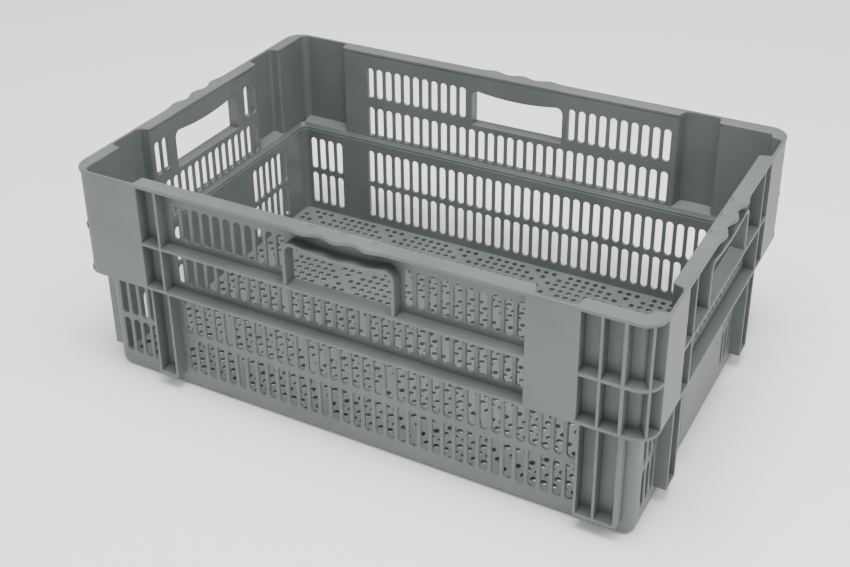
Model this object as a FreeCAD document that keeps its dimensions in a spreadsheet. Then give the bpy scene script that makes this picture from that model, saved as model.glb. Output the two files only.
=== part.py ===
import FreeCAD, Part
import Sketcher
import os
import re

# Stacking / nesting vented plastic crate, millimetres, +Z up, long side along X.
# The crate is one moulding: every part below is one region of it, split on flat
# planes so that neighbouring parts meet face to face.

doc = FreeCAD.newDocument("StackNestCrate")

# ---------------------------------------------------------------- sizes
SIZES = [
    # overall
    ("rim_x", 298.0, "outer plane of the rim on the short ends, from the middle"),
    ("rim_y", 198.0, "outer plane of the rim on the long sides, from the middle"),
    ("height", 234.0, "top of the rim"),
    ("rim_t", 4.0, "thickness of the top rim"),
    ("grip_out", 2.0, "how far the finger waves stand out of the rim"),
    ("grip_r", 22.0, "radius of one finger wave"),
    ("grip_step", 33.0, "distance between finger waves"),
    ("corner_out", 20.0, "outer corner radius of rim and flanges"),
    # walls, and how far each stands behind the rim plane
    ("up_in_x", 14.5, "rim plane to the inner face of the upper wall, short ends"),
    ("up_in_y", 16.0, "rim plane to the inner face of the upper wall, long sides"),
    ("low_in_x", 16.0, "rim plane to the outer face of the lower wall, short ends"),
    ("low_in_y", 17.0, "rim plane to the outer face of the lower wall, long sides"),
    ("wall_t", 2.8, "thickness of the upper walls"),
    ("low_t", 2.8, "thickness of the lower walls"),
    ("panel_t", 3.0, "thickness of the flush nesting-channel panels"),
    ("rib_t", 2.6, "thickness of an ordinary rib"),
    ("thick_rib", 3.4, "thickness of the heavy rib near the corner"),
    ("corner_low", 10.0, "outer corner radius of the lower body"),
    # levels
    ("mid_down", 66.5, "top of the rim to the underside of the middle flange"),
    ("skirt_down", 115.5, "top of the rim to the underside of the bottom flange"),
    ("flange_t", 3.0, "thickness of both flanges"),
    ("ledge_t", 3.8, "height of the inner ledge on the bottom flange"),
    ("floor_low", 7.0, "underside of the floor plate"),
    ("floor_t", 3.0, "thickness of the floor plate"),
    ("foot_face", 4.0, "foot columns stand this far behind the rim plane"),
    ("foot_low", 16.4, "underside of the foot columns"),
    ("foot_t", 3.0, "thickness of a foot column's bottom plate"),
    # stations along the long sides, counted from the rim plane of the nearer end
    ("cell_in", 79.7, "left end to the edge of the left channel panel"),
    ("cell_wide", 21.7, "narrow cell between that edge and its rib"),
    ("chan_in", 66.7, "right end to the outer edge of the right channel panel"),
    ("chan_wide", 48.3, "width of the right channel panel"),
    ("rib_c_in", 48.2, "right end to the thin rib"),
    ("rib_d_in", 28.3, "right end to the heavy rib"),
    # stations along the short ends, counted from the rim plane of the nearer side
    ("right_in", 20.7, "long side to the outer edge of a right-end channel panel"),
    ("right_wide", 51.3, "width of a right-end channel panel"),
    ("right_gap", 22.0, "channel panel to the rib of the right end"),
    ("left_in", 54.0, "long side to the outer edge of a left-end channel panel"),
    ("left_wide", 52.0, "width of a left-end channel panel"),
    ("left_foot_in", 26.0, "long side to the far rib of a left-end foot column"),
    # handles
    ("hand_x", 1.5, "middle of the handles on the long sides"),
    ("hand_half", 54.5, "half width of a handle opening"),
    ("hand_down", 21.5, "top of the rim to the top of a handle opening at its ends"),
    ("hand_dip", 3.8, "how far the top edge bows down in the middle"),
    ("bow_r", 290.0, "radius of the bowed top edge"),
    ("hand_r", 7.0, "corner radius of a handle opening"),
    ("collar_t", 3.6, "thickness of the collar round a handle"),
    ("collar_in", 1.0, "collar face behind the rim plane"),
    # vents
    ("slot_w", 7.8, "width of a slot"),
    ("pitch", 12.0, "slot spacing on the long sides"),
    ("pitch_end", 12.2, "slot spacing on the short ends"),
    ("edge_gap", 8.0, "least distance from a slot's middle to the next rib or panel"),
    ("first_gap", 11.6, "narrow cell's rib to the middle of the first slot"),
    ("over_flange", 6.0, "bottom flange to the row of slots above it"),
    ("over_mid", 6.8, "middle flange to the row of slots above it"),
    ("under_mid", 3.2, "middle flange to the row of slots below it"),
    ("under_skirt", 10.3, "bottom flange to the row of slots below it"),
    ("row_gap", 6.3, "between the two rows of the lower body"),
    ("row_base", 19.5, "bottom of the lowest row"),
    # floor
    ("hole_d", 6.2, "diameter of a floor hole"),
    ("hole_step", 10.0, "floor hole spacing"),
    ("strap_t", 2.4, "thickness of a rib under the floor"),
]

# places that follow from the sizes above
PLACES = {
    "up_x": "(rim_x - up_in_x)",
    "up_y": "(rim_y - up_in_y)",
    "low_x": "(rim_x - low_in_x)",
    "low_y": "(rim_y - low_in_y)",
    "mid_low": "(height - mid_down)",
    "mid_top": "(height - mid_down + flange_t)",
    "skirt_low": "(height - skirt_down)",
    "skirt_top": "(height - skirt_down + flange_t)",
    "ledge_top": "(height - skirt_down + flange_t + ledge_t)",
    "floor_top": "(floor_low + floor_t)",
    "cell_a": "(cell_in - rim_x)",
    "cell_b": "(cell_in + cell_wide - rim_x)",
    "chan_a": "(rim_x - chan_in - chan_wide)",
    "chan_b": "(rim_x - chan_in)",
    "rib_c": "(rim_x - rib_c_in)",
    "rib_d": "(rim_x - rib_d_in)",
    "right_a": "(rim_y - right_in - right_wide)",
    "right_b": "(rim_y - right_in)",
    "right_rib": "(rim_y - right_in - right_wide - right_gap)",
    "left_a": "(rim_y - left_in - left_wide)",
    "left_b": "(rim_y - left_in)",
    "left_foot": "(rim_y - left_foot_in)",
    "hand_top": "(height - hand_down)",
    "hand_mid": "(height - hand_down - hand_dip)",
    "slot_up": "(skirt_down - mid_down - flange_t - over_flange - under_mid)",
    "slot_low": "((height - skirt_down - row_base - row_gap - under_skirt) / 2)",
    "row_one": "(height - mid_down + flange_t + over_mid)",
    "row_two": "(height - skirt_down + flange_t + over_flange)",
    "row_three": "((height - skirt_down + row_base + row_gap - under_skirt) / 2)",
    "row_four": "row_base",
}

sheet = doc.addObject("Spreadsheet::Sheet", "Size")
for row, (alias, value, note) in enumerate(SIZES, start=1):
    sheet.set("A%d" % row, alias)
    sheet.set("B%d" % row, str(value))
    sheet.set("C%d" % row, note)
    sheet.setAlias("B%d" % row, alias)
doc.recompute()
SIZE = {alias: value for alias, value, note in SIZES}
NAMES = re.compile(r"\b(%s)\b" % "|".join(SIZE))
DERIVED = re.compile(r"\b(%s)\b" % "|".join(PLACES))
nodes = []


def bind(item, prop, text):
    """Drive one property from the sheet; text is a sum of names and numbers."""
    text = DERIVED.sub(lambda found: PLACES[found.group(1)], str(text))
    item.setExpression(prop, NAMES.sub(r"Size.\1", text))


def node(label, item):
    """Register a finished sub-part; its Label names the exported file."""
    item.Label = label
    nodes.append(item)
    return item


# ---------------------------------------------------------------- primitives
def box(name, x0, x1, y0, y1, z0, z1):
    item = doc.addObject("Part::Box", name)
    sides = (("Length", "x", x0, x1), ("Width", "y", y0, y1), ("Height", "z", z0, z1))
    for prop, axis, low, high in sides:
        bind(item, prop, "(%s) - (%s)" % (high, low))
        bind(item, "Placement.Base." + axis, low)
    return item


def cylinder(name, radius, x, y, z0, z1, angle=360, turn=0):
    """Upright cylinder or sector; turn is where the sector starts, in degrees."""
    item = doc.addObject("Part::Cylinder", name)
    item.Angle = angle
    item.Placement.Rotation = FreeCAD.Rotation(FreeCAD.Vector(0, 0, 1), turn)
    bind(item, "Radius", radius)
    bind(item, "Height", "(%s) - (%s)" % (z1, z0))
    bind(item, "Placement.Base.x", x)
    bind(item, "Placement.Base.y", y)
    bind(item, "Placement.Base.z", z0)
    return item


def fuse(name, items):
    item = doc.addObject("Part::MultiFuse", name)
    item.Shapes = items
    item.Refine = True
    return item


def cut(name, base, tool):
    item = doc.addObject("Part::Cut", name)
    item.Base = base
    item.Tool = tool
    item.Refine = True
    return item


def common(name, items):
    item = doc.addObject("Part::MultiCommon", name)
    item.Shapes = items
    item.Refine = True
    return item


def mirror(label, source):
    """Copy of a near-side part on the far side of the middle plane."""
    item = doc.addObject("Part::Mirroring", label)
    item.Source = source
    item.Normal = FreeCAD.Vector(0, 1, 0)
    return node(label, item)


def pair(label, item):
    """Register a near-side part and its mirror image on the far side."""
    node(label + "_near", item)
    mirror(label + "_far", item)


# ---------------------------------------------------------------- vented walls
PLANES = {"XZ": (4, "y"), "YZ": (5, "x")}


def sketch(body, name, plane, off, u0, z0):
    """Sketch on a plane parallel to an origin plane, its own origin at (u0, z0)."""
    item = body.newObject("Sketcher::SketchObject", name)
    item.AttachmentSupport = [(body.Origin.OriginFeatures[PLANES[plane][0]], "")]
    item.MapMode = "FlatFace"
    bind(item, "AttachmentOffset.Base.x", u0)
    bind(item, "AttachmentOffset.Base.y", z0)
    bind(item, "AttachmentOffset.Base.z", off)
    return item


def rectangle(item, wide, tall):
    v = FreeCAD.Vector
    corners = [v(0, 0, 0), v(9, 0, 0), v(9, 9, 0), v(0, 9, 0)]
    for k in range(4):
        item.addGeometry(Part.LineSegment(corners[k], corners[(k + 1) % 4]), False)
    for k in range(4):
        item.addConstraint(Sketcher.Constraint("Coincident", k, 2, (k + 1) % 4, 1))
    for k, kind in enumerate(("Horizontal", "Vertical", "Horizontal", "Vertical")):
        item.addConstraint(Sketcher.Constraint(kind, k))
    item.addConstraint(Sketcher.Constraint("Coincident", 0, 1, -1, 1))
    across = item.addConstraint(Sketcher.Constraint("DistanceX", 0, 1, 0, 2, 9.0))
    up = item.addConstraint(Sketcher.Constraint("DistanceY", 1, 1, 1, 2, 9.0))
    bind(item, "Constraints[%d]" % across, wide)
    bind(item, "Constraints[%d]" % up, tall)


def obround(item, wide, tall):
    """Upright slot with round ends, its lower end on the sketch origin."""
    v = FreeCAD.Vector
    axis = v(0, 0, 1)
    low = Part.ArcOfCircle(Part.Circle(v(0, 4, 0), axis, 4), 3.14159265, 6.2831853)
    top = Part.ArcOfCircle(Part.Circle(v(0, 30, 0), axis, 4), 0, 3.14159265)
    item.addGeometry(low, False)
    item.addGeometry(Part.LineSegment(v(4, 4, 0), v(4, 30, 0)), False)
    item.addGeometry(top, False)
    item.addGeometry(Part.LineSegment(v(-4, 30, 0), v(-4, 4, 0)), False)
    joints = ((0, 2, 1, 1), (1, 2, 2, 1), (2, 2, 3, 1), (3, 2, 0, 1))
    for joint in joints:
        item.addConstraint(Sketcher.Constraint("Tangent", *joint))
    item.addConstraint(Sketcher.Constraint("Vertical", 1))
    item.addConstraint(Sketcher.Constraint("PointOnObject", 0, 3, -2))
    round_end = item.addConstraint(Sketcher.Constraint("Radius", 0, 4.0))
    start = item.addConstraint(Sketcher.Constraint("DistanceY", -1, 1, 0, 3, 4.0))
    reach = item.addConstraint(Sketcher.Constraint("DistanceY", 0, 3, 2, 3, 26.0))
    bind(item, "Constraints[%d]" % round_end, "%s / 2" % wide)
    bind(item, "Constraints[%d]" % start, "%s / 2" % wide)
    bind(item, "Constraints[%d]" % reach, "%s - %s" % (tall, wide))


def vented(name, plane, off, thick, u0, u1, z0, z1, rows, step):
    """Flat wall padded off a plane, with rows of slots (first, last, bottom, length).

    The count of a row follows from the room between its first and last place.
    """
    body = doc.addObject("PartDesign::Body", name)
    outline = sketch(body, name + "_outline", plane, off, u0, z0)
    rectangle(outline, "(%s) - (%s)" % (u1, u0), "(%s) - (%s)" % (z1, z0))
    pad = body.newObject("PartDesign::Pad", name + "_pad")
    pad.Profile = outline
    bind(pad, "Length", thick)
    body.Tip = pad
    doc.recompute()
    for k, (first, last, bottom, length) in enumerate(rows):
        shape = sketch(body, "%s_slot%d" % (name, k), plane, off, first, bottom)
        obround(shape, "slot_w", length)
        pocket = body.newObject("PartDesign::Pocket", "%s_vent%d" % (name, k))
        pocket.Profile = shape
        pocket.Type = "ThroughAll"
        pocket.SideType = "Symmetric"
        pocket.Refine = False
        body.Tip = pocket
        doc.recompute()
        row = body.newObject("PartDesign::LinearPattern", "%s_row%d" % (name, k))
        row.Originals = [pocket]
        row.Direction = (shape, ["H_Axis"])
        row.Mode = "Spacing"
        row.Refine = False
        room = "(%s) - (%s)" % (last, first)
        bind(row, "Occurrences", "1 + max(0; floor((%s) / %s + 0.01))" % (room, step))
        bind(row, "Offset", step)
        body.Tip = row
        doc.recompute()
    return body


Z_RIM = "height - rim_t"

# slot places: on the short ends they are counted in whole steps from the middle
FIRST = "(cell_b + first_gap)"
BESIDE = "(ceil((hand_half + collar_t + edge_gap) / pitch_end) * pitch_end)"
TO_RIB = "(floor((right_rib - rib_t / 2 - 3) / pitch_end) * pitch_end)"
NEAR_RIB = "(floor((right_rib - rib_t / 2 - edge_gap - 3) / pitch_end) * pitch_end)"
TO_PANEL = "(floor((left_a - edge_gap + 2) / pitch_end) * pitch_end)"
TO_BEND = "(floor((low_y - corner_low - 30) / pitch_end) * pitch_end)"
PAST_FOOT = "(right_a + edge_gap + 1)"
LAST_END = "(low_y - corner_low - edge_gap - 3.6)"
PAST_STEPS = "(floor((%s - %s) / pitch_end + 0.01) * pitch_end)" % (LAST_END, PAST_FOOT)

# ---------------------------------------------------------------- lower body
LOW_ROWS = ("row_three", "row_four")
rows = []
for bottom in LOW_ROWS:
    rows.append((FIRST, "chan_b - edge_gap", bottom, "slot_low"))
    rows.append(("corner_low + 6 - low_x", "cell_a - edge_gap", bottom, "slot_low"))
lower = vented("LowerFront", "XZ", "low_y - low_t", "low_t",
               "corner_low - low_x", "low_x - corner_low", "0", "skirt_low", rows, "pitch")
pair("lower_wall", lower)

rows = []
for bottom in LOW_ROWS:
    rows.append(("-%s - %s" % (PAST_FOOT, PAST_STEPS), "-" + PAST_FOOT, bottom, "slot_low"))
    rows.append(("-" + TO_RIB, "-" + BESIDE, bottom, "slot_low"))
    rows.append((BESIDE, TO_RIB, bottom, "slot_low"))
    rows.append((PAST_FOOT, LAST_END, bottom, "slot_low"))
lower = vented("LowerRight", "YZ", "low_x - low_t", "low_t",
               "corner_low - low_y", "low_y - corner_low", "0", "skirt_low", rows, "pitch_end")
node("lower_wall_right", lower)

rows = []
for bottom in LOW_ROWS:
    rows.append(("-" + TO_BEND, "-" + BESIDE, bottom, "slot_low"))
    rows.append((BESIDE, TO_BEND, bottom, "slot_low"))
lower = vented("LowerLeft", "YZ", "-low_x", "low_t",
               "corner_low - low_y", "low_y - corner_low", "0", "skirt_low", rows, "pitch_end")
node("lower_wall_left", lower)

for side, sign, turn in (("left", "-", 180), ("right", "", 270)):
    x = "%s(low_x - corner_low)" % sign
    y = "corner_low - low_y"
    outer = cylinder("LowCorner" + side, "corner_low", x, y, "0", "skirt_low", 90, turn)
    inner = cylinder("LowBore" + side, "corner_low - low_t", x, y, "-1", "skirt_low + 1")
    pair("lower_corner_%s" % side, cut("LowBend" + side, outer, inner))

# floor plate: one face with all its holes, thickened in one step, because a sketch
# pattern of this many holes takes far too long to rebuild
v = FreeCAD.Vector
half_x = SIZE["rim_x"] - SIZE["low_in_x"] - SIZE["low_t"]
half_y = SIZE["rim_y"] - SIZE["low_in_y"] - SIZE["low_t"]
bend = SIZE["corner_low"] - SIZE["low_t"]
step = SIZE["hole_step"]
plate = Part.makeBox(2 * half_x, 2 * half_y, 1, v(-half_x, -half_y, SIZE["floor_low"]))
uprights = [e for e in plate.Edges if abs(e.Vertexes[0].Z - e.Vertexes[1].Z) > 0.5]
plate = plate.makeFillet(bend, uprights)
faces = [f for f in plate.Faces if abs(f.CenterOfMass.z - SIZE["floor_low"]) < 0.01]
wires = [faces[0].OuterWire]
count_x = int((half_x - step / 2) // step)
count_y = int((half_y - step / 2) // step)
for i in range(-count_x, count_x + 1):
    for j in range(-count_y, count_y + 1):
        on_strap = (i - j) % 10 == 0 or (i + j) % 10 == 0
        at_corner = abs(i) == count_x and abs(j) == count_y
        if on_strap or at_corner:
            continue
        centre = v(i * step, j * step, SIZE["floor_low"])
        hole = Part.makeCircle(SIZE["hole_d"] / 2, centre)
        wires.append(Part.Wire([hole]))
face = Part.makeFace(wires, "Part::FaceMakerBullseye")
solid = face.extrude(v(0, 0, SIZE["floor_t"]))
floor = doc.addObject("Part::Feature", "Floor")
floor.Shape = solid
node("floor_panel", floor)

# diagonal straps under the floor, below the strips that carry no holes
IN_X = "(low_x - low_t)"
IN_Y = "(low_y - low_t)"
straps = []
most = int((half_x + half_y) // (10 * step))
for k in range(-most, most + 1):
    for turn in (45, -45):
        strap = doc.addObject("Part::Box", "Strap")
        bind(strap, "Length", "4 * rim_x")
        bind(strap, "Width", "strap_t")
        bind(strap, "Height", "floor_low")
        spin = FreeCAD.Rotation(v(0, 0, 1), turn)
        middle = v(k * 10 * step, 0, 0)
        reach = spin.multVec(v(-2 * SIZE["rim_x"], -SIZE["strap_t"] / 2, 0))
        strap.Placement = FreeCAD.Placement(middle + reach, spin)
        straps.append(strap)
grid = fuse("StrapGrid", straps)
field = box("StrapField", "8 - " + IN_X, IN_X + " - 8", "8 - " + IN_Y, IN_Y + " - 8", "0", "floor_low")
inside = box("StrapInside", "11 - " + IN_X, IN_X + " - 11", "11 - " + IN_Y, IN_Y + " - 11", "-1",
             "floor_low + 1")
border = cut("StrapBorder", field, inside)
node("floor_straps", fuse("FloorStraps", [common("StrapClip", [grid, field]), border]))


# ---------------------------------------------------------------- foot columns
FOOT_Y = "(rim_y - foot_face)"
FOOT_X = "(rim_x - foot_face)"


def foot_long(name, x0, x1, ribs):
    """Column on a long side: ribs (low, high) standing on one bottom plate."""
    parts = [box(name + "_sole", x0, x1, "-" + FOOT_Y, "-low_y", "foot_low", "foot_low + foot_t")]
    for k, (low, high) in enumerate(ribs):
        parts.append(box("%s_rib%d" % (name, k), low, high, "-" + FOOT_Y, "-low_y", "foot_low", "skirt_low"))
    return fuse(name, parts)


def foot_end(name, x0, x1, y0, y1):
    """Column on a short end, two ribs wide."""
    parts = [
        box(name + "_sole", x0, x1, y0, y1, "foot_low", "foot_low + foot_t"),
        box(name + "_rib0", x0, x1, y0, "%s + rib_t" % y0, "foot_low", "skirt_low"),
        box(name + "_rib1", x0, x1, "%s - rib_t" % y1, y1, "foot_low", "skirt_low"),
    ]
    return fuse(name, parts)


pair("foot_left_side", foot_long("FootA", "cell_a", "cell_b + rib_t / 2", [
    ("cell_a", "cell_a + rib_t"), ("cell_b - rib_t / 2", "cell_b + rib_t / 2")]))
pair("foot_right_side", foot_long("FootB", "chan_b", "rib_d + thick_rib / 2", [
    ("chan_b", "chan_b + rib_t"), ("rib_c - rib_t / 2", "rib_c + rib_t / 2"),
    ("rib_d - thick_rib / 2", "rib_d + thick_rib / 2")]))
pair("foot_right_end", foot_end("FootC", "low_x", FOOT_X, "-right_a", "-right_rib + rib_t / 2"))
pair("foot_left_end", foot_end("FootD", "-" + FOOT_X, "-low_x", "-left_foot", "-left_b"))

# ---------------------------------------------------------------- bottom flange, ledge
ARC_X = "(rim_x - corner_out)"
ARC_Y = "(rim_y - corner_out)"


def rounded(name, hx, hy, radius, z0, z1):
    """Upright block with rounded corners: two boxes and four cylinders."""
    parts = [
        box(name + "_long", "-" + hx, hx, "-(%s - %s)" % (hy, radius), "%s - %s" % (hy, radius), z0, z1),
        box(name + "_wide", "-(%s - %s)" % (hx, radius), "%s - %s" % (hx, radius), "-" + hy, hy, z0, z1),
    ]
    for sx in ("", "-"):
        for sy in ("", "-"):
            x = "%s(%s - %s)" % (sx, hx, radius)
            y = "%s(%s - %s)" % (sy, hy, radius)
            parts.append(cylinder(name + "_corner", radius, x, y, z0, z1))
    return fuse(name, parts)


well = rounded("Well", IN_X, IN_Y, "(corner_low - low_t)", "skirt_low - 1", "ledge_top + 1")
disc = rounded("FlangeDisc", "rim_x", "rim_y", "corner_out", "skirt_low", "skirt_top")
node("bottom_flange", cut("BottomFlange", disc, well))
step_up = box("LedgeBlock", "-up_x", "up_x", "-up_y", "up_y", "skirt_top", "ledge_top")
node("nesting_ledge", cut("NestingLedge", step_up, well))


# ---------------------------------------------------------------- handles
def arch(name, half, top, middle, radius, y0, y1):
    """Handle outline run along Y: flat sill, rounded shoulders, bowed top edge."""
    parts = [
        box(name + "_body", "-(%s)" % half, half, y0, y1, "mid_top", "(%s) - %s" % (top, radius)),
        box(name + "_cap", "%s - (%s)" % (radius, half), "(%s) - %s" % (half, radius), y0, y1,
            "(%s) - %s" % (top, radius), top),
    ]
    for sign in ("", "-"):
        shoulder = doc.addObject("Part::Cylinder", name + "_shoulder")
        shoulder.Placement.Rotation = FreeCAD.Rotation(v(1, 0, 0), -90)
        bind(shoulder, "Radius", radius)
        bind(shoulder, "Height", "(%s) - (%s)" % (y1, y0))
        bind(shoulder, "Placement.Base.x", "%s((%s) - %s)" % (sign, half, radius))
        bind(shoulder, "Placement.Base.y", y0)
        bind(shoulder, "Placement.Base.z", "(%s) - %s" % (top, radius))
        parts.append(shoulder)
    bow = doc.addObject("Part::Cylinder", name + "_bow")
    bow.Placement.Rotation = FreeCAD.Rotation(v(1, 0, 0), -90)
    bind(bow, "Radius", "bow_r")
    bind(bow, "Height", "(%s) - (%s) + 2" % (y1, y0))
    bind(bow, "Placement.Base.y", "(%s) - 1" % y0)
    bind(bow, "Placement.Base.z", "(%s) + bow_r" % middle)
    return cut(name, fuse(name + "_blank", parts), bow)


def handle(name, deep, shallow, turn, x="0"):
    """Opening to cut and collar to keep, for the side whose outward normal is -Y turned."""
    opening = arch(name + "Void", "hand_half", "hand_top", "hand_mid", "hand_r",
                   "-(%s) - 9" % deep, "-(%s) + 9" % shallow)
    outer = arch(name + "Ring", "hand_half + collar_t", "hand_top + collar_t", "hand_mid + collar_t",
                 "(hand_r + collar_t)", "-(%s)" % deep, "-(%s)" % shallow)
    for item in (opening, outer):
        item.Placement.Rotation = FreeCAD.Rotation(v(0, 0, 1), turn)
        bind(item, "Placement.Base.x", x)
    return opening, cut(name + "Collar", outer, opening)


# ---------------------------------------------------------------- upper vented walls
wall = vented("UpperFront", "XZ", "up_y", "wall_t", "cell_a", "chan_a", "skirt_top", Z_RIM, [
    (FIRST, "hand_x - hand_half - collar_t - edge_gap", "row_one", "slot_up"),
    ("hand_x + hand_half + collar_t + edge_gap - 0.6", "chan_a - edge_gap", "row_one", "slot_up"),
    (FIRST, "chan_a - edge_gap", "row_two", "slot_up")], "pitch")
opening, collar = handle("Side", "rim_y - collar_in", "up_y + wall_t", 0, "hand_x")
pair("vent_wall", cut("VentFront", wall, opening))
pair("handle_collar", collar)

wall = vented("UpperRight", "YZ", "up_x", "wall_t", "-right_a", "right_a", "skirt_top", Z_RIM, [
    ("-" + NEAR_RIB, "-" + BESIDE, "row_one", "slot_up"), (BESIDE, NEAR_RIB, "row_one", "slot_up"),
    ("-" + NEAR_RIB, NEAR_RIB, "row_two", "slot_up")], "pitch_end")
opening, collar = handle("RightEnd", "rim_x - collar_in", "up_x + wall_t", 90)
node("vent_wall_right", cut("VentRight", wall, opening))
node("handle_collar_right", collar)

wall = vented("UpperLeft", "YZ", "-(up_x + wall_t)", "wall_t", "-left_a", "left_a", "skirt_top", Z_RIM, [
    ("-" + TO_PANEL, "-" + BESIDE, "row_one", "slot_up"), (BESIDE, TO_PANEL, "row_one", "slot_up"),
    ("-" + TO_PANEL, TO_PANEL, "row_two", "slot_up")], "pitch_end")
opening, collar = handle("LeftEnd", "rim_x - collar_in", "up_x + wall_t", -90)
node("vent_wall_left", cut("VentLeft", wall, opening))
node("handle_collar_left", collar)


# ---------------------------------------------------------------- channel panels
def channel_long(name, x0, x1, left_wall):
    """Flush panel on the long side with the side walls and floor of its channel."""
    inner_low = "%s + panel_t" % x0 if left_wall else x0
    parts = [
        box(name + "_face", x0, x1, "-rim_y", "panel_t - rim_y", "skirt_top", Z_RIM),
        box(name + "_right", "%s - panel_t" % x1, x1, "panel_t - rim_y", "-up_y", "skirt_top", Z_RIM),
        box(name + "_floor", inner_low, "%s - panel_t" % x1, "panel_t - rim_y", "-up_y",
            "skirt_top", "ledge_top"),
    ]
    if left_wall:
        parts.append(box(name + "_left", x0, "%s + panel_t" % x0, "panel_t - rim_y", "-up_y",
                         "skirt_top", Z_RIM))
    return fuse(name, parts)


def channel_end(name, sign, y0, y1):
    """The same on a short end; sign is '' for the right end and '-' for the left."""
    def span(a, b):
        return (a, b) if sign == "" else ("-(%s)" % b, "-(%s)" % a)
    face = span("rim_x - panel_t", "rim_x")
    deep = span("up_x", "rim_x - panel_t")
    parts = [
        box(name + "_face", *face, y0, y1, "skirt_top", Z_RIM),
        box(name + "_low", *deep, y0, "%s + panel_t" % y0, "skirt_top", Z_RIM),
        box(name + "_high", *deep, "%s - panel_t" % y1, y1, "skirt_top", Z_RIM),
        box(name + "_floor", *deep, "%s + panel_t" % y0, "%s - panel_t" % y1, "skirt_top", "ledge_top"),
    ]
    return fuse(name, parts)


pair("channel_left_side", channel_long("ChannelA", "-" + ARC_X, "cell_a", False))
pair("channel_right_side", channel_long("ChannelB", "chan_a", "chan_b", True))
pair("channel_right_end", channel_end("ChannelC", "", "-right_b", "-right_a"))
pair("channel_left_end", channel_end("ChannelD", "-", "-left_b", "-left_a"))

# ---------------------------------------------------------------- corner walls
skin = cut("CornerSkin",
           cylinder("CornerSkinOut", "corner_out", "-" + ARC_X, "-" + ARC_Y, "skirt_top", Z_RIM, 25, 245),
           cylinder("CornerSkinIn", "corner_out - panel_t", "-" + ARC_X, "-" + ARC_Y, "skirt_top - 1",
                    "height"))
inset = box("CornerInsetL", "-up_x - wall_t", "-up_x", "3 - rim_y", "-left_b", "skirt_top", Z_RIM)
sill = box("CornerLedgeL", "-up_x", "-" + ARC_X, "panel_t - rim_y", "-up_y", "skirt_top", "ledge_top")
pair("corner_wall_left", fuse("CornerLeft", [skin, inset, sill]))
pair("corner_wall_right", fuse("CornerRight", [
    box("CornerInsetR", "chan_b", "up_x + wall_t", "-up_y - wall_t", "-up_y", "skirt_top", Z_RIM),
    box("CornerReturnR", "up_x", "up_x + wall_t", "-up_y", "-right_b", "skirt_top", Z_RIM)]))


# ---------------------------------------------------------------- middle flange and ribs
def long_strip(name, x0, x1, z0, z1):
    return box(name, x0, x1, "-rim_y", "-up_y - wall_t", z0, z1)


pair("side_frame", fuse("SideFrame", [
    long_strip("SideFlange", "cell_a", "chan_a", "mid_low", "mid_top"),
    long_strip("SideRib", "cell_b - rib_t / 2", "cell_b + rib_t / 2", "skirt_top", Z_RIM)]))

parts = [box("RightFlange", "up_x + wall_t", "rim_x", "-right_a", "right_a", "mid_low", "mid_top")]
for sign in ("", "-"):
    centre = sign + "right_rib"
    parts.append(box("RightRib", "up_x + wall_t", "rim_x", "%s - rib_t / 2" % centre,
                     "%s + rib_t / 2" % centre, "skirt_top", Z_RIM))
node("end_frame_right", fuse("RightFrame", parts))
node("end_frame_left", box("LeftFlange", "-rim_x", "-up_x - wall_t", "-left_a", "left_a",
                           "mid_low", "mid_top"))

bend_zone = cylinder("BendZone", "corner_out", ARC_X, "-" + ARC_Y, "skirt_top", Z_RIM, 90, 270)
brace = doc.addObject("Part::Box", "CornerBrace")
bind(brace, "Length", "2 * corner_out")
bind(brace, "Width", "rib_t")
bind(brace, "Height", "height - rim_t - skirt_top")
brace.Placement.Rotation = FreeCAD.Rotation(v(0, 0, 1), -48)
bind(brace, "Placement.Base.x", "up_x")
bind(brace, "Placement.Base.y", "-up_y")
bind(brace, "Placement.Base.z", "skirt_top")
flange = fuse("BendFlange", [
    long_strip("BendFlangeA", "chan_b", ARC_X, "mid_low", "mid_top"),
    cylinder("BendFlangeB", "corner_out", ARC_X, "-" + ARC_Y, "mid_low", "mid_top", 90, 270),
    box("BendFlangeC", "up_x + wall_t", "rim_x", "-" + ARC_Y, "-right_b", "mid_low", "mid_top"),
    long_strip("ThinRib", "rib_c - rib_t / 2", "rib_c + rib_t / 2", "skirt_top", Z_RIM),
    long_strip("HeavyRib", "rib_d - thick_rib / 2", "rib_d + thick_rib / 2", "skirt_top", Z_RIM),
    common("BraceClip", [brace, bend_zone])])
clear = box("BendClear", "chan_b", "up_x + wall_t", "-up_y - wall_t", "-right_b", "skirt_top - 1", "height")
pair("corner_frame_right", cut("CornerFrameRight", flange, clear))

flange = fuse("BackBend", [
    cylinder("BackBendA", "corner_out", "-" + ARC_X, "-" + ARC_Y, "mid_low", "mid_top", 65, 180),
    box("BackBendB", "-rim_x", "-up_x - wall_t", "-" + ARC_Y, "-left_b", "mid_low", "mid_top"),
    box("BackRib", "-rim_x", "-up_x - wall_t", "-left_foot - rib_t / 2", "-left_foot + rib_t / 2",
        "skirt_top", Z_RIM)])
clear = box("BackClear", "-up_x - wall_t", "0", "-rim_y", "0", "skirt_top - 1", "height")
pair("corner_frame_left", cut("CornerFrameLeft", flange, clear))


# ---------------------------------------------------------------- top rim
def waves(name, centre, turn):
    """Three rounded finger waves standing out of a rim rail."""
    parts = []
    for k in (-1, 0, 1):
        wave = cylinder(name + "_wave", "grip_r", "%d * grip_step" % k,
                        "grip_r - %s - grip_out" % centre, Z_RIM, "height")
        parts.append(wave)
    clip = box(name + "_clip", "-2 * grip_step", "2 * grip_step", "-%s - grip_out - 1" % centre,
               "2 - %s" % centre, Z_RIM, "height")
    item = common(name, [fuse(name + "_set", parts), clip])
    item.Placement.Rotation = FreeCAD.Rotation(v(0, 0, 1), turn)
    return item


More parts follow.
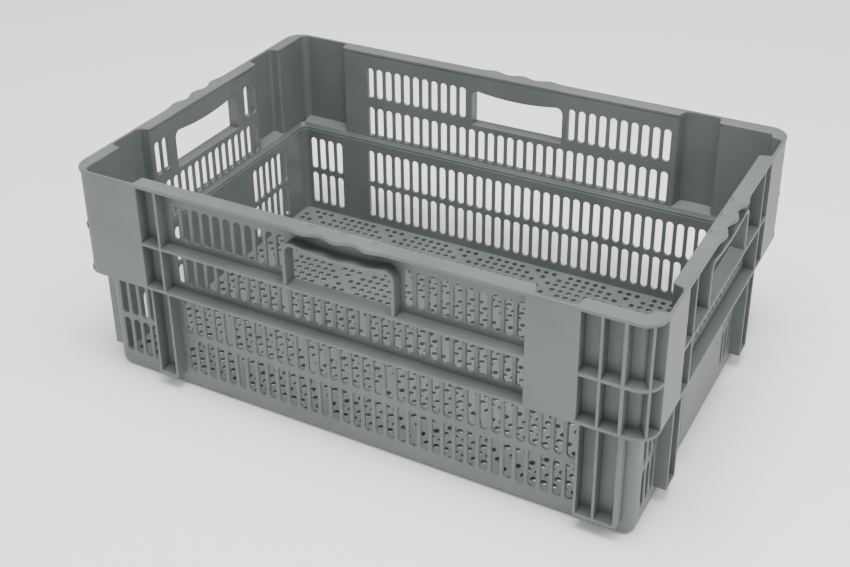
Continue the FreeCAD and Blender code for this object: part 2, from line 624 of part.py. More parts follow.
side_waves = waves("SideWaves", "rim_y", 0)
bind(side_waves, "Placement.Base.x", "hand_x")
rail = fuse("SideRail", [box("SideRailBar", "-" + ARC_X, ARC_X, "-rim_y", "-up_y", Z_RIM, "height"),
                         side_waves])
notches = fuse("SideNotches", [
    box("SideNotchA", "-rim_x", "cell_a - panel_t", "panel_t - rim_y", "1 - up_y", Z_RIM + " - 1",
        "height + 1"),
    box("SideNotchB", "chan_a + panel_t", "chan_b - panel_t", "panel_t - rim_y", "1 - up_y",
        Z_RIM + " - 1", "height + 1")])
pair("rim_side", cut("RimSide", rail, notches))

for side, sign, low, high in (("right", "", "right_a", "right_b"), ("left", "-", "left_a", "left_b")):
    turn = 90 if side == "right" else -90
    spans = [("up_x", "rim_x"), ("up_x - 1", "rim_x - panel_t")]
    if sign:
        spans = [("-rim_x", "-up_x"), ("panel_t - rim_x", "1 - up_x")]
    name = "EndRail" + side
    rail = fuse(name, [box(name + "_bar", *spans[0], "-" + ARC_Y, ARC_Y, Z_RIM, "height"),
                       waves(name + "_grip", "rim_x", turn)])
    gaps = []
    for flip in ("", "-"):
        ends = ("%s + panel_t" % low, "%s - panel_t" % high)
        if flip:
            ends = ("panel_t - %s" % high, "-%s - panel_t" % low)
        gaps.append(box(name + "_gap", *spans[1], *ends, Z_RIM + " - 1", "height + 1"))
    node("rim_end_" + side, cut("RimEnd" + side, rail, fuse(name + "_gaps", gaps)))

corner = cylinder("RimBendL", "corner_out", "-" + ARC_X, "-" + ARC_Y, Z_RIM, "height", 90, 180)
pocket = box("RimBendLClear", "-up_x", "0", "panel_t - rim_y", "0", Z_RIM + " - 1", "height + 1")
pair("rim_corner_left", cut("RimCornerL", corner, pocket))
corner = cylinder("RimBendR", "corner_out", ARC_X, "-" + ARC_Y, Z_RIM, "height", 90, 270)
pocket = box("RimBendRClear", "0", "up_x", "-up_y", "0", Z_RIM + " - 1", "height + 1")
pair("rim_corner_right", cut("RimCornerR", corner, pocket))

# ---------------------------------------------------------------- checks and export
doc.recompute()
for item in doc.Objects:
    if "Invalid" in item.State or "Error" in item.State:
        raise RuntimeError("%s did not rebuild: %s" % (item.Label, item.State))

os.makedirs("parts", exist_ok=True)
low = FreeCAD.BoundBox()
for item in nodes:
    shape = item.Shape
    if shape.isNull() or not shape.isValid() or len(shape.Solids) != 1:
        raise RuntimeError("%s is not one valid solid (%d)" % (item.Label, len(shape.Solids)))
    low.add(shape.BoundBox)
    shape.exportStep("parts/%s.step" % item.Label)
print("%d parts, %.1f x %.1f x %.1f mm" % (len(nodes), low.XLength, low.YLength, low.ZLength))
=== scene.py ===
# %% [markdown]
# # A vented stacking crate
# The crate is one injection moulding in grey polypropylene: a slotted box under a wide
# rim, with two flanges, ribs, hand holes and flush panels that hide nesting channels.
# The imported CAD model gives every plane. Here the same regions are modelled again with
# eased edges, because a moulding has no sharp edge, and each region is a closed solid
# that meets its neighbours in one plane, so that no seam shows.

# %% Load the frame
import math

import bmesh
import bpy
from mathutils import Matrix, Vector


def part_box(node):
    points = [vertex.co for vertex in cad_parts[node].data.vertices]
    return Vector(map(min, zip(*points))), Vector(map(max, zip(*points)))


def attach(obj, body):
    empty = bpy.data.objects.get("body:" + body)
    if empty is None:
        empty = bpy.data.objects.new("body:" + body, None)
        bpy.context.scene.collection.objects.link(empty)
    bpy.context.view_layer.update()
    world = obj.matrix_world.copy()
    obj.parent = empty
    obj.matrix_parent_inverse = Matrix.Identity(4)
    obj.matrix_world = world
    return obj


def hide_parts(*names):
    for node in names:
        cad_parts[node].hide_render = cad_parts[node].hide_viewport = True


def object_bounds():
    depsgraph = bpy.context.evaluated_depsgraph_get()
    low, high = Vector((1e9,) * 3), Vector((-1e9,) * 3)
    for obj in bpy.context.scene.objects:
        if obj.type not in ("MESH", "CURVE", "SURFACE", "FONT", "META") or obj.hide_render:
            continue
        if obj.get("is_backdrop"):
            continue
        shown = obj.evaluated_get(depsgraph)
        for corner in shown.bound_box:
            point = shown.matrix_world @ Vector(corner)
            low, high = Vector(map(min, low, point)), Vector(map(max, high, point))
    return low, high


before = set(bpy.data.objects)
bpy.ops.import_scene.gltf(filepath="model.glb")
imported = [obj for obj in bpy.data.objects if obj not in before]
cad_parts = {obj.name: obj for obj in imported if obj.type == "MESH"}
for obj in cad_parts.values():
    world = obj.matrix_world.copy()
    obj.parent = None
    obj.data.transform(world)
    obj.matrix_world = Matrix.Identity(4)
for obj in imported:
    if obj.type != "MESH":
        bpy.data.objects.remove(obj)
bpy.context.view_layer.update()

# %% [markdown]
# ## Planes and stations
# Every plane is read from the box of a CAD node, in millimetres, so the looks follow the
# frame. Only values that a box doesn't show, such as slot spacing, are written here.

# %% Planes of the crate
X, Y, Z = 0, 1, 2


def span(node, axis):
    """Lowest and highest value of a CAD node along one axis, in millimetres."""
    low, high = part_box(node)
    return 1000 * low[axis], 1000 * high[axis]


RIM_X = span("rim_corner_right_near", X)[1]
RIM_Y = span("rim_corner_right_far", Y)[1]
ARC_X = span("rim_corner_right_near", X)[0]
ARC_Y = span("rim_corner_right_far", Y)[0]
BEND = RIM_X - ARC_X
RIM_LOW, TOP = span("rim_side_near", Z)
MID = span("end_frame_left", Z)
SKIRT = span("bottom_flange", Z)
LEDGE = span("nesting_ledge", Z)[1]
UP_X = span("vent_wall_right", X)
UP_Y = span("vent_wall_far", Y)
LOW_X = span("lower_wall_right", X)
LOW_Y = span("lower_wall_far", Y)
LOW_END_X = span("lower_wall_far", X)[1]
LOW_END_Y = span("lower_wall_right", Y)[1]
FLOOR = span("floor_panel", Z)
CELL_A = span("channel_left_side_near", X)[1]
CELL_B = span("foot_left_side_near", X)[1]
CHAN = span("channel_right_side_near", X)
HEAVY = span("foot_right_side_near", X)[1]
RIGHT = span("channel_right_end_far", Y)
LEFT = span("channel_left_end_far", Y)
FOOT = span("foot_left_side_far", Y)[1]
FOOT_X = span("foot_right_end_far", X)[1]
FOOT_Z = span("foot_left_side_far", Z)[0]
RIGHT_FOOT = span("foot_right_end_far", Y)
LEFT_FOOT = span("foot_left_end_far", Y)
print("rim", RIM_X, RIM_Y, "levels", SKIRT, MID, RIM_LOW, TOP)

# %% Sizes that no box shows
TUCK = 0.03        # ribs and flanges sit this far behind a flush panel
PANEL = 3.0        # panel thickness
RIB = 2.6
THIN_RIB = 249.8   # middle of the thin rib near the right corner
HEAVY_RIB = 3.4    # thickness of the rib beside the right corner
SLOT_W = 7.8
PITCH, PITCH_END = 12.0, 12.2
SLOT_UP, SLOT_LOW = 36.8, 41.2
ROW_ONE, ROW_TWO, ROW_THREE, ROW_FOUR = 177.3, 127.5, 67.0, 19.5
BORDER = 2.1       # plain plastic left round a slot inside its cell
HAND_X = 1.5
HAND = dict(half=54.5, top=212.5, dip=208.7, radius=7.0)
COLLAR = 3.6
print("slots", SLOT_W, "mm wide every", PITCH, "mm")

# %% [markdown]
# ## Tools for one moulding
# Each side of the crate is drawn in its own plane: along the wall, inwards from the rim
# plane, and up. A matrix then stands it on its side, so one description serves two sides.
# Solids start from a few points or a grid and are extruded; `ease` rounds the edges that
# show and leaves the edges where two regions meet.

# %% Matrices for the four sides
SIDES = {
    "near": Matrix(((1, 0, 0, 0), (0, 1, 0, -RIM_Y), (0, 0, 1, 0), (0, 0, 0, 1))),
    "far": Matrix(((1, 0, 0, 0), (0, -1, 0, RIM_Y), (0, 0, 1, 0), (0, 0, 0, 1))),
    "right": Matrix(((0, -1, 0, RIM_X), (1, 0, 0, 0), (0, 0, 1, 0), (0, 0, 0, 1))),
    "left": Matrix(((0, 1, 0, -RIM_X), (1, 0, 0, 0), (0, 0, 1, 0), (0, 0, 0, 1))),
}
UPRIGHT = Matrix(((1, 0, 0, 0), (0, 0, 1, 0), (0, 1, 0, 0), (0, 0, 0, 1)))
print("sides:", ", ".join(SIDES))

# %% Points and edges


def arc(cx, cy, radius, start, stop, steps=10):
    """Points of an arc, both ends included, with angles in degrees."""
    points = []
    for k in range(steps + 1):
        angle = math.radians(start + (stop - start) * k / steps)
        points.append((cx + radius * math.cos(angle), cy + radius * math.sin(angle)))
    return points


def ease(bm, soft, keep=None, steps=2):
    """Rounds the sharp edges of a solid; keep chooses them by their middle point."""
    bmesh.ops.recalc_face_normals(bm, faces=bm.faces)
    edges = []
    for edge in bm.edges:
        if len(edge.link_faces) == 2 and edge.calc_face_angle(0) > math.radians(38):
            middle = (edge.verts[0].co + edge.verts[1].co) / 2
            if keep is None or keep(middle):
                edges.append(edge)
    bmesh.ops.bevel(bm, geom=edges, offset=soft, offset_type="OFFSET", segments=steps,
                    profile=0.5, affect="EDGES", clamp_overlap=True, material=-1)
    return bm


def thicken(bm, faces, vector):
    """Extrudes a sheet into a closed solid."""
    moved = bmesh.ops.extrude_face_region(bm, geom=faces)["geom"]
    verts = [item for item in moved if isinstance(item, bmesh.types.BMVert)]
    bmesh.ops.translate(bm, verts=verts, vec=vector)
    bmesh.ops.recalc_face_normals(bm, faces=bm.faces)
    return bm


def prism(points, low, high, soft=0.0, keep=None, steps=2):
    """Outline in plan raised between two levels."""
    bm = bmesh.new()
    face = bm.faces.new([bm.verts.new((x, y, low)) for x, y in points])
    thicken(bm, [face], (0, 0, high - low))
    return ease(bm, soft, keep, steps) if soft else bm


def stand(bm, side):
    """Puts a solid drawn in a side's own plane onto that side."""
    bmesh.ops.transform(bm, matrix=SIDES[side], verts=bm.verts)
    bmesh.ops.recalc_face_normals(bm, faces=bm.faces)
    return bm


def across(bm):
    """The solid and its mirror image on the far side of the crate."""
    other = bm.copy()
    bmesh.ops.scale(other, vec=(1, -1, 1), verts=other.verts)
    bmesh.ops.recalc_face_normals(other, faces=other.faces)
    return [bm, other]


def bar(u0, u1, w0, w1, z0, z1, side, soft=0.5, keep=None):
    """Rib or flange on one side: along the wall, inwards and up."""
    return stand(prism([(u0, w0), (u1, w0), (u1, w1), (u0, w1)], z0, z1, soft, keep), side)


print("tools ready")

# %% [markdown]
# ## Vented walls
# A slot is a round-ended hole in a flat cell one pitch wide. The cell is made once: a
# circle is pulled apart into a slot and its edge is extruded out to the cell's border,
# so neighbouring cells share their points. Copies make a row, the row gets its
# thickness, and only the rims of the slots are eased. The rest of the wall is a grid
# with windows that the rows fill.

# %% One slot cell and a row of them


def slot_cell(pitch, length):
    """Flat cell with a slot, centred on the origin, as a mesh."""
    bm = bmesh.new()
    ring = bmesh.ops.create_circle(bm, cap_ends=False, radius=SLOT_W / 2, segments=16)["verts"]
    bmesh.ops.rotate(bm, verts=ring, cent=(0, 0, 0), matrix=Matrix.Rotation(math.pi / 16, 3, "Z"))
    for vert in ring:
        vert.co.y += math.copysign((length - SLOT_W) / 2, vert.co.y)
    out = bmesh.ops.extrude_edge_only(bm, edges=bm.edges[:])["geom"]
    half_x, half_y = pitch / 2, length / 2 + BORDER
    for vert in [item for item in out if isinstance(item, bmesh.types.BMVert)]:
        x, y = vert.co.x, vert.co.y
        from_end = abs(y) - (length - SLOT_W) / 2
        if from_end < 0.4 * abs(x):
            vert.co.x = math.copysign(half_x, x)
        elif from_end < abs(x):
            vert.co.x, vert.co.y = math.copysign(half_x, x), math.copysign(half_y, y)
        else:
            vert.co.y = math.copysign(half_y, y)
    mesh = bpy.data.meshes.new("slot_cell")
    bm.to_mesh(mesh)
    return mesh


def slot_row(first, count, bottom, length, pitch, w0, w1, side):
    """Row of slots as one solid strip in its wall."""
    bm = bmesh.new()
    cell = slot_cell(pitch, length)
    cell.transform(Matrix.Translation((first, bottom + length / 2, 0)))
    for _ in range(count):
        bm.from_mesh(cell)
        cell.transform(Matrix.Translation((pitch, 0, 0)))
    bpy.data.meshes.remove(cell)
    bmesh.ops.remove_doubles(bm, verts=bm.verts, dist=0.001)
    bmesh.ops.translate(bm, verts=bm.verts, vec=(0, 0, w0))
    thicken(bm, bm.faces[:], (0, 0, w1 - w0))
    left, right = first - pitch / 2 + 0.1, first + (count - 0.5) * pitch - 0.1
    low, high = bottom - BORDER + 0.1, bottom + length + BORDER - 0.1
    ease(bm, 0.7, lambda p: left < p.x < right and low < p.y < high, 1)
    bmesh.ops.transform(bm, matrix=UPRIGHT, verts=bm.verts)
    return stand(bm, side)


def plate(us, zs, w0, w1, side, windows):
    """Wall between stations us and levels zs, without its windows (u0, u1, z0, z1)."""
    bm = bmesh.new()
    verts = bmesh.ops.create_grid(bm, x_segments=len(us) - 1, y_segments=len(zs) - 1, size=0.5)["verts"]
    for vert in verts:
        i = round((vert.co.x + 0.5) * (len(us) - 1))
        j = round((vert.co.y + 0.5) * (len(zs) - 1))
        vert.co = (us[i], zs[j], w0)
    gone = []
    for face in bm.faces:
        c = face.calc_center_median()
        if any(u0 < c.x < u1 and z0 < c.y < z1 for u0, u1, z0, z1 in windows):
            gone.append(face)
    bmesh.ops.delete(bm, geom=gone, context="FACES")
    thicken(bm, bm.faces[:], (0, 0, w1 - w0))
    bmesh.ops.transform(bm, matrix=UPRIGHT, verts=bm.verts)
    return stand(bm, side)


def vented(us, zs, w0, w1, side, rows, pitch, more=()):
    """Plate and rows together; a row is (first, count, bottom, length)."""
    windows = list(more)
    solids = []
    for first, count, bottom, length in rows:
        u0, u1 = first - pitch / 2, first + (count - 0.5) * pitch
        z0, z1 = bottom - BORDER, bottom + length + BORDER
        windows.append((u0, u1, z0, z1))
        us, zs = us + [u0, u1], zs + [z0, z1]
        solids.append(slot_row(first, count, bottom, length, pitch, w0, w1, side))
    for u0, u1, z0, z1 in more:
        us, zs = us + [u0, u1], zs + [z0, z1]
    us = sorted(set(round(u, 4) for u in us))
    zs = sorted(set(round(z, 4) for z in zs))
    solids.append(plate(us, zs, w0, w1, side, windows))
    return solids


print("slot cell:", len(slot_cell(PITCH, SLOT_UP).polygons), "faces")

# %% [markdown]
# ## Hand holes
# Each hand hole has a flat sill on the middle flange, rounded shoulders and a top edge
# that bows down to meet the fingers. A collar of the same outline stands out of the
# inset wall to the rim plane. Both are drawn as one arch and extruded through the wall.

# %% Arch outline, wall piece and collar


def arch(u0, grow, steps=8):
    """Outline of a hand hole from one foot over the top to the other."""
    half, top = HAND["half"] + grow, HAND["top"] + grow
    dip, radius = HAND["dip"] + grow, HAND["radius"] + grow
    right = arc(half - radius, top - radius, radius, 0, 90, steps)
    bow = []
    for k in range(1, 12):
        u = (half - radius) * (1 - k / 6)
        bow.append((u, dip + (top - dip) * (u / (half - radius)) ** 2))
    left = arc(radius - half, top - radius, radius, 90, 180, steps)
    points = [(half, MID[1])] + right + bow + left + [(-half, MID[1])]
    return [(u0 + u, z) for u, z in points]


def hand_wall(u0, w0, w1, side, reach, high):
    """Piece of wall round a hand hole, as wide as its window."""
    outline = [(u0 + reach[1], MID[1]), (u0 + reach[1], high), (u0 + reach[0], high), (u0 + reach[0], MID[1])]
    outline += arch(u0, 0)[::-1]
    bm = bmesh.new()
    face = bm.faces.new([bm.verts.new((u, z, w0)) for u, z in outline])
    thicken(bm, [face], (0, 0, w1 - w0))
    half = HAND["half"]
    ease(bm, 0.9, lambda p: abs(p.x - u0) < half + 0.3 and MID[1] + 0.2 < p.y < high - 1 and p.z > w1 - 0.1)
    bmesh.ops.transform(bm, matrix=UPRIGHT, verts=bm.verts)
    return stand(bm, side)


def collar(u0, w0, w1, side):
    """Collar that stands out of the wall round a hand hole."""
    bm = bmesh.new()
    outline = arch(u0, COLLAR) + arch(u0, 0)[::-1]
    face = bm.faces.new([bm.verts.new((u, z, w0)) for u, z in outline])
    thicken(bm, [face], (0, 0, w1 - w0))
    ease(bm, 1.0, lambda p: p.z < w0 + 0.1 and p.y > MID[1] + 0.2, 3)
    bmesh.ops.transform(bm, matrix=UPRIGHT, verts=bm.verts)
    return stand(bm, side)


UP_IN_X, UP_IN_Y = RIM_X - UP_X[0], RIM_Y - UP_Y[0]
WALL_X, WALL_Y = RIM_X - UP_X[1], RIM_Y - UP_Y[1]
walls, collars = [], []
for side in ("near", "far"):
    rows = [(-185, 11, ROW_ONE, SLOT_UP), (67, 10, ROW_ONE, SLOT_UP), (-185, 31, ROW_TWO, SLOT_UP)]
    window = (-59, 61, MID[1], ROW_ONE + SLOT_UP + BORDER)
    walls += vented([CELL_A, CHAN[0]], [SKIRT[1], RIM_LOW], WALL_Y, UP_IN_Y, side, rows, PITCH, [window])
    walls.append(hand_wall(HAND_X, WALL_Y, UP_IN_Y, side, (-60.5, 59.5), window[3]))
    collars.append(collar(HAND_X, 1.0, WALL_Y, side))
for side, reach in (("right", RIGHT[0]), ("left", LEFT[0])):
    near, far = 6 * PITCH_END, 7 * PITCH_END
    rows = [(-far, 2, ROW_ONE, SLOT_UP), (near, 2, ROW_ONE, SLOT_UP), (-far, 15, ROW_TWO, SLOT_UP)]
    window = (-62, 62, MID[1], ROW_ONE + SLOT_UP + BORDER)
    walls += vented([-reach, reach], [SKIRT[1], RIM_LOW], WALL_X, UP_IN_X, side, rows, PITCH_END, [window])
    walls.append(hand_wall(0, WALL_X, UP_IN_X, side, (-62, 62), window[3]))
    collars.append(collar(0, 1.0, WALL_X, side))
print("upper walls:", len(walls), "solids; collars:", len(collars))

# %% [markdown]
# ## Corner walls
# At the right end the inset wall turns the corner inside the ribs with a soft bend. At
# the left end a flush skin wraps the start of the corner and closes the last channel, and a
# second skin, set a little back, carries on round the bend.

# %% Corner walls
INNER = 5.0                          # inner radius of the upper wall's bend
OUTER = INNER + 2.8                  # and its outer radius
FLUSH_END, OVERLAP, CLOSED_END = 250, 252, 216   # angles where the left skins stop and meet
SET_BACK = BEND - 1.4                # radius of the second skin
right_corner = [(CHAN[1], -UP_Y[1])] + arc(UP_X[1] - OUTER, -UP_Y[1] + OUTER, OUTER, -90, 0)[:-1]
right_corner += [(UP_X[1], -RIGHT[1]), (UP_X[0], -RIGHT[1])]
right_corner += arc(UP_X[0] - INNER, -UP_Y[0] + INNER, INNER, 0, -90)[1:]
right_corner += [(CHAN[1], -UP_Y[0])]
walls += across(prism(right_corner, SKIRT[1] - 1, RIM_LOW + 1))
skin = arc(-ARC_X, -ARC_Y, BEND, 270, FLUSH_END, 4)
skin += arc(-ARC_X, -ARC_Y, BEND - PANEL, FLUSH_END, 270, 4)
walls += across(prism(skin, SKIRT[0] + 0.7, TOP - 1.2, 0.4, lambda p: p.x < -ARC_X - 4 and 120 < p.z < 230))
skin = arc(-ARC_X, -ARC_Y, SET_BACK, OVERLAP, CLOSED_END, 6)
skin += arc(-ARC_X, -ARC_Y, SET_BACK - 2, CLOSED_END, OVERLAP, 6)
walls += across(prism(skin, SKIRT[0] + 0.7, TOP - 1.2, 0.4, lambda p: p.y > -ARC_Y - 13 and 130 < p.z < 230))
SOFT = 8.0
back = arc(SOFT - UP_X[0], SOFT + PANEL - RIM_Y, SOFT, 180, 270, 8) + [(-UP_X[0] - 0.5, PANEL - 0.5 - RIM_Y)]
walls += across(prism(back, SKIRT[1] + 1, TOP - 1.2))
inset = [(-UP_X[1], 3.5 - RIM_Y), (-UP_X[0], 2.6 - RIM_Y), (-UP_X[0], -LEFT[1]), (-UP_X[1], -LEFT[1])]
walls += across(prism(inset, SKIRT[1] - 1, RIM_LOW + 1))
print("with corners:", len(walls), "solids")

# %% [markdown]
# ## Channels
# A flush panel with side walls and a sloping floor makes a channel that lets a turned
# crate's foot columns drop in. The side walls lean back, so the moulding leaves its
# steel, and the mouth has wide soft corners that catch the light inside the crate.

# %% Channel panels


def channel(u0, u1, deep, side, lean=(5.0, 2.0), closed=(True, True)):
    """U-shaped panel in plan; lean is how far each side wall leans, closed which exist."""
    left, right = (PANEL if closed[0] else 0), (PANEL if closed[1] else 0)
    back = [(u1 - right - (lean[1] if closed[1] else 0), PANEL),
            (u0 + left + (lean[0] if closed[0] else 0), PANEL)]
    points = [(u0, 0), (u1, 0)]
    if closed[1]:
        points += [(u1, deep), (u1 - right, deep)]
    points += back
    if closed[0]:
        points += [(u0 + left, deep), (u0, deep)]
    bm = prism(points, SKIRT[0] + 0.7, TOP - 1.2)
    upright = lambda p: SKIRT[0] + 2 < p.z < TOP - 2
    ease(bm, 2.2, lambda p: upright(p) and p.y > deep - 0.1 and u0 + 1 < p.x < u1 - 1, 4)
    ease(bm, 3.5, lambda p: upright(p) and abs(p.y - PANEL) < 0.1 and u0 + 1 < p.x < u1 - 1, 5)
    ease(bm, 0.5, lambda p: upright(p) and p.y < 0.1 and (closed[0] or p.x > u0 + 1)
         and (closed[1] or p.x < u1 - 1))
    return stand(bm, side)


def channel_floor(u0, u1, deep, side):
    """Sloping floor of a channel, a little higher at the back."""
    bm = prism([(u0, 2), (u1, 2), (u1, deep), (u0, deep)], SKIRT[1] - 0.5, LEDGE)
    for vert in bm.verts:
        if vert.co.z > LEDGE - 0.1 and vert.co.y < 3:
            vert.co.z += 4
    return stand(bm, side)


channels = []
for side in ("near", "far"):
    channels.append(channel(CHAN[0], CHAN[1], UP_IN_Y, side))
    channels.append(channel_floor(CHAN[0] + 1, CHAN[1] - 1, UP_IN_Y, side))
    channels.append(channel(-ARC_X, CELL_A, UP_IN_Y, side, (0, 2.0), (False, True)))
    channels.append(channel_floor(-ARC_X - 3, CELL_A - 1, UP_IN_Y, side))
for side, (u0, u1) in (("right", RIGHT), ("left", LEFT)):
    for sign in (-1, 1):
        low, high = (u0, u1) if sign > 0 else (-u1, -u0)
        lean = (4.0, 2.0) if sign > 0 else (2.0, 4.0)
        channels.append(channel(low, high, UP_IN_X, side, lean))
        channels.append(channel_floor(low + 1, high - 1, UP_IN_X, side))
print("channels:", len(channels), "solids")

# %% [markdown]
# ## Flanges, ribs and feet
# The flanges and ribs are one lattice whose front faces lie in the rim plane. They are
# bars a hair behind the panels, with only their front edges eased. The foot columns carry
# the ribs on below the bottom flange, and stand on the rim of the crate underneath.

# %% Flanges and ribs
front = lambda p: p.y < 0.5
frames = []
for side in ("near", "far"):
    frames.append(bar(CELL_A - 1, CHAN[0] + 1, TUCK, WALL_Y + 0.5, *MID, side, 0.6, front))
    for low, high in ((CELL_B - RIB, CELL_B), (THIN_RIB - RIB / 2, THIN_RIB + RIB / 2),
                      (HEAVY - HEAVY_RIB, HEAVY)):
        frames.append(bar(low, high, 2 * TUCK, WALL_Y + 0.5, SKIRT[1] - 1, RIM_LOW + 1, side, 0.5, front))
frames.append(bar(-RIGHT[0] - 1, RIGHT[0] + 1, TUCK, WALL_X + 0.5, *MID, "right", 0.6, front))
frames.append(bar(-LEFT[0] - 1, LEFT[0] + 1, TUCK, WALL_X + 0.5, *MID, "left", 0.6, front))
for sign in (-1, 1):
    middle = sign * (RIGHT_FOOT[0] + RIB / 2)
    frames.append(bar(middle - RIB / 2, middle + RIB / 2, 2 * TUCK, WALL_X + 0.5, SKIRT[1] - 1,
                      RIM_LOW + 1, "right", 0.5, front))
    middle = sign * LEFT_FOOT[1]
    frames.append(bar(middle - RIB / 2, middle + RIB / 2, 2 * TUCK, WALL_X + 0.5, SKIRT[1] - 1,
                      RIM_LOW + 1, "left", 0.5, front))


def outer_edge(p):
    """True on the outside of a flange that turns a corner."""
    gap = max(abs(p.x) - RIM_X, abs(p.y) - RIM_Y)
    if abs(p.x) > ARC_X and abs(p.y) > ARC_Y:
        gap = math.hypot(abs(p.x) - ARC_X, abs(p.y) - ARC_Y) - BEND
    return gap > -0.5


turn = [(CHAN[1] - 1, TUCK - RIM_Y)] + arc(ARC_X, -ARC_Y, BEND - TUCK, -90, 0)
turn += [(RIM_X - TUCK, 1 - RIGHT[1]), (UP_X[1] - 0.5, 1 - RIGHT[1]), (UP_X[1] - 0.5, 0.5 - UP_Y[1]),
         (CHAN[1] - 1, 0.5 - UP_Y[1])]
frames += across(prism(turn, *MID, 0.6, outer_edge))
turn = arc(-ARC_X, -ARC_Y, BEND - TUCK, 180, 247, 8)
turn += [(-UP_X[1] + 0.5, 2 - RIM_Y), (-UP_X[1] + 0.5, 1 - LEFT[1]), (TUCK - RIM_X, 1 - LEFT[1])]
frames += across(prism(turn, *MID, 0.6, outer_edge))
along = Vector((math.cos(math.radians(-48)), math.sin(math.radians(-48))))
beside = Vector((-along.y, along.x)) * RIB / 2
start, stop = Vector((UP_X[1] - 1.5, 1.5 - UP_Y[1])), Vector((ARC_X, -ARC_Y)) + along * (BEND - 2 * TUCK)
brace = [start - beside, stop - beside, stop + beside, start + beside]
frames += across(prism([tuple(p) for p in brace], SKIRT[1] - 1, RIM_LOW + 1, 0.5, outer_edge))
print("flanges and ribs:", len(frames), "solids")

# %% Bottom flange


def rounded(hx, hy, radius, steps=10):
    """Near half of a rounded rectangle, from the left end's middle to the right's."""
    points = [(-hx, 0)]
    points += arc(radius - hx, radius - hy, radius, 180, 270, steps)
    points += arc(hx - radius, radius - hy, radius, -90, 0, steps)
    return points + [(hx, 0)]


def half_ring(outer, hole, low, high, soft, keep):
    """Both halves of a flat ring, which meet in the middle of the short ends."""
    return across(prism(outer + hole[::-1], low, high, soft, keep))


skirt_edge = lambda p: outer_edge(p) and abs(p.y) > 0.01
frames += half_ring(rounded(RIM_X - TUCK, RIM_Y - TUCK, BEND - TUCK),
                    rounded(LOW_X[0] + 1, LOW_Y[0] + 1, 8), *SKIRT, 0.6, skirt_edge)
print("with the bottom flange:", len(frames), "solids")

# %% Foot columns
FOOT_W = RIM_Y - FOOT
FOOT_PLATE = 3
LOW_W_Y, LOW_W_X = (RIM_Y - LOW_Y[1], RIM_Y - LOW_Y[0]), (RIM_X - LOW_X[1], RIM_X - LOW_X[0])
foot_front = lambda p: p.y < FOOT_W + 0.5


def foot_rib(low, high, w0, w1, side):
    """Rib of a foot column, a hair above the column's lower plate."""
    return bar(low, high, w0, w1, FOOT_Z + 0.03, SKIRT[0] + 0.5, side, 0.6, foot_front)


def foot_plate(low, high, w0, w1, side):
    """Plate that closes a foot column below."""
    return bar(low, high, w0, w1, FOOT_Z, FOOT_Z + FOOT_PLATE, side, 0.6, foot_front)


feet = []
for side in ("near", "far"):
    for low, high in ((CELL_A, CELL_A + RIB), (CELL_B - RIB, CELL_B), (CHAN[1], CHAN[1] + RIB),
                      (THIN_RIB - RIB / 2, THIN_RIB + RIB / 2), (HEAVY - HEAVY_RIB, HEAVY)):
        feet.append(foot_rib(low, high, FOOT_W + TUCK, LOW_W_Y[0] + 0.5, side))
    for low, high in ((CELL_A + 0.1, CELL_B - 0.1), (CHAN[1] + 0.1, HEAVY - 0.1)):
        feet.append(foot_plate(low, high, FOOT_W, LOW_W_Y[0] + 0.5, side))
for side, (u0, u1) in (("right", RIGHT_FOOT), ("left", LEFT_FOOT)):
    for sign in (-1, 1):
        low, high = (u0, u1) if sign > 0 else (-u1, -u0)
        for a, b in ((low, low + RIB), (high - RIB, high)):
            feet.append(foot_rib(a, b, RIM_X - FOOT_X + TUCK, LOW_W_X[0] + 0.5, side))
        feet.append(foot_plate(low + 0.1, high - 0.1, RIM_X - FOOT_X, LOW_W_X[0] + 0.5, side))
print("feet:", len(feet), "solids")

# %% [markdown]
# ## The rim
# The rim is a flat band 16 mm wide on the long sides, and its inner edge steps out to the
# panel where a channel opens. Over each hand hole it has a grip of its own: the outer edge
# swells into three finger waves, and a shallow dish behind each one stops at a thin lip.

# %% Finger grips and rim outline
WAVE_STEP, WAVE_OUT, WAVE_IN = 33.0, 2.6, 2.2
GRIP = 1.5 * WAVE_STEP
SCOOP, SCOOP_HALF, LIP = 2.4, 10.0, 0.86


def wave(distance):
    """How far the rim's edge stands out at a distance from a hand hole's middle."""
    rise = 0.5 + 0.5 * math.cos(2 * math.pi * distance / WAVE_STEP)
    if abs(distance) > WAVE_STEP:
        return WAVE_OUT * rise
    return rise * (WAVE_OUT + WAVE_IN) - WAVE_IN


def scoop(distance, inward):
    """Depth of a fingertip's dish; it is deepest just before the lip at the inner edge."""
    away = min(abs(distance - k * WAVE_STEP) for k in (-1, 0, 1))
    if away > SCOOP_HALF or inward > LIP:
        return 0.0
    return SCOOP * (0.5 + 0.5 * math.cos(math.pi * away / SCOOP_HALF)) * (inward / LIP) ** 2


def grip(u0, deep, side, along=72, over=12):
    """Wavy piece of rim over one hand hole, dished where the fingers lie."""
    bm = bmesh.new()
    verts = bmesh.ops.create_grid(bm, x_segments=along, y_segments=over, size=0.5)["verts"]
    for vert in verts:
        distance, inward = 2 * GRIP * vert.co.x, vert.co.y + 0.5
        edge = TUCK - wave(distance)
        vert.co = (u0 + distance, edge + (deep - edge) * inward, TOP - scoop(distance, inward))
    moved = bmesh.ops.extrude_face_region(bm, geom=bm.faces[:])["geom"]
    for item in moved:
        if isinstance(item, bmesh.types.BMVert):
            item.co.z = RIM_LOW
    ease(bm, 1.1, lambda p: abs(abs(p.x - u0) - GRIP) > 0.01, 3)
    return stand(bm, side)


